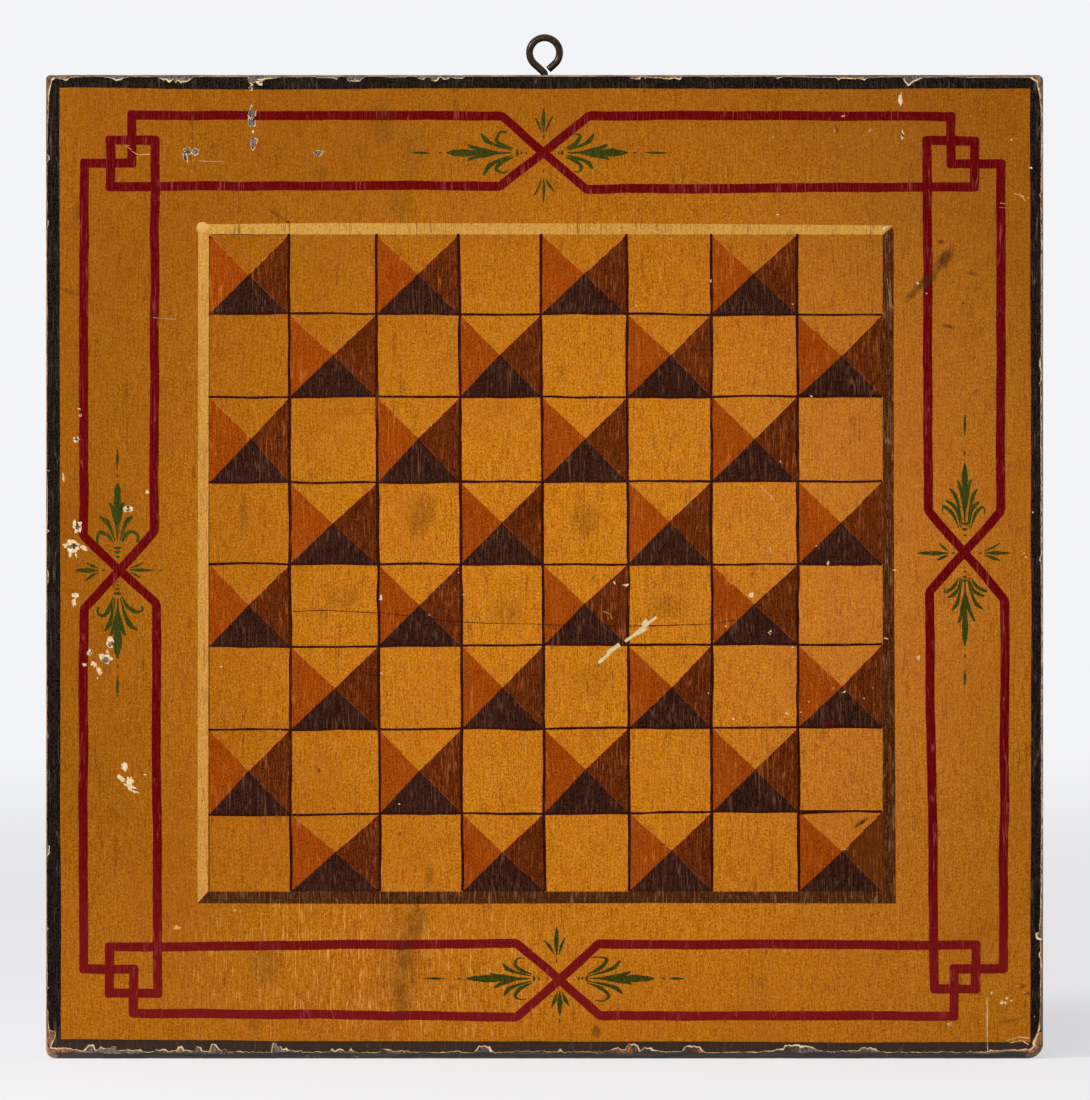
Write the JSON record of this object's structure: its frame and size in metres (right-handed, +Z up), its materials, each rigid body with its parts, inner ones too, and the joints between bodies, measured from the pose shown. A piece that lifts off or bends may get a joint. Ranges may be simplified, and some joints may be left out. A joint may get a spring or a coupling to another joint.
{
  "type": "checkerboard",
  "caption": "Painted wooden game board for checkers: a square field of plain squares and painted pyramids, a striped border, battens on its back and a screw eye to hang it by.",
  "frame": {"origin": "middle of the bottom edge, at half the thickness of the boards", "axes": "+X to the right as the painted face is seen, +Z up the boards' grain to the screw eye, -Y out of the painted face"},
  "size_m": [0.45, 0.0355, 0.463],
  "materials": {
    "pine": "bare, darkened with age",
    "batten_wood": "bare, darkened with age",
    "dowel_wood": "bare",
    "iron": "dark patina",
    "ochre_paint": "old varnished oil paint",
    "tawny_paint": "old varnished oil paint",
    "umber_paint": "old varnished oil paint",
    "dark_umber_paint": "old varnished oil paint",
    "straw_paint": "old varnished oil paint",
    "brown_paint": "old varnished oil paint",
    "red_paint": "old varnished oil paint",
    "green_paint": "old varnished oil paint",
    "black_paint": "old varnished oil paint"
  },
  "bodies": {
    "panel": {"left_board": "pine", "centre_board": "pine", "right_board": "pine", "left_dowel_1": "dowel_wood", "left_dowel_2": "dowel_wood", "left_dowel_3": "dowel_wood", "right_dowel_1": "dowel_wood", "right_dowel_2": "dowel_wood", "right_dowel_3": "dowel_wood", "upper_batten": "batten_wood", "lower_batten": "batten_wood", "upper_batten_screw_1": "iron", "upper_batten_screw_2": "iron", "upper_batten_screw_3": "iron", "upper_batten_screw_4": "iron", "lower_batten_screw_1": "iron", "lower_batten_screw_2": "iron", "lower_batten_screw_3": "iron", "lower_batten_screw_4": "iron", "ground_coat": "ochre_paint", "left_facets": "tawny_paint", "right_facets": "umber_paint", "lower_facets": "dark_umber_paint", "square_lines": "dark_umber_paint", "light_band": "straw_paint", "dark_band": "brown_paint", "red_striping": "red_paint", "green_sprigs": "green_paint", "black_border": "black_paint"},
    "eye": {"screw_eye": "iron"}
  },
  "joints": [
    {"name": "eye_turn", "type": "hinge", "parent": "panel", "child": "eye", "pos_m": [0, 0, 0.43], "axis": [0, 0, 1], "range_deg": [-90, 90]}
  ]
}
